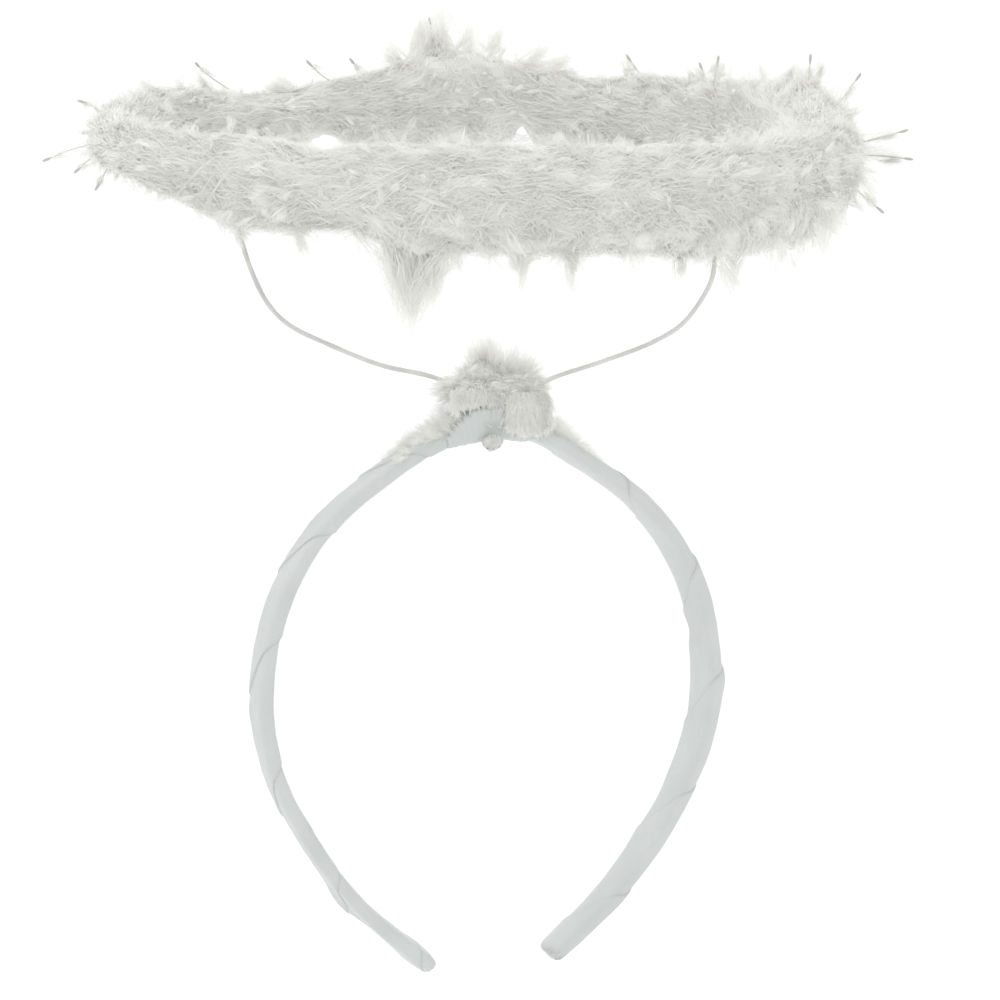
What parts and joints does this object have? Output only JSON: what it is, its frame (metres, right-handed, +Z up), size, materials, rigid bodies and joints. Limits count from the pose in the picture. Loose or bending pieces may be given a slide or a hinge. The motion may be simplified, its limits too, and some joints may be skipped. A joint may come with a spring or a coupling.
{
  "type": "halo headband",
  "caption": "White costume headband wound with satin ribbon, with a fluffy feather halo held above it on a bent wire.",
  "frame": {"origin": "middle of the crown's underside, where it sits on the head", "axes": "+Z up, -Y towards the front of the head, +X across the head towards the wearer's left"},
  "size_m": [0.2373, 0.2359, 0.272],
  "materials": {
    "satin_ribbon": "satin",
    "thread": "matte",
    "feather_fluff": "matte",
    "coated_wire": "satin"
  },
  "bodies": {
    "root": {"headband": "satin_ribbon", "crown_binding": "satin_ribbon", "binding_knot": "thread", "crown_tuft": "feather_fluff", "halo_wire": "coated_wire", "halo": "feather_fluff"}
  },
  "joints": []
}
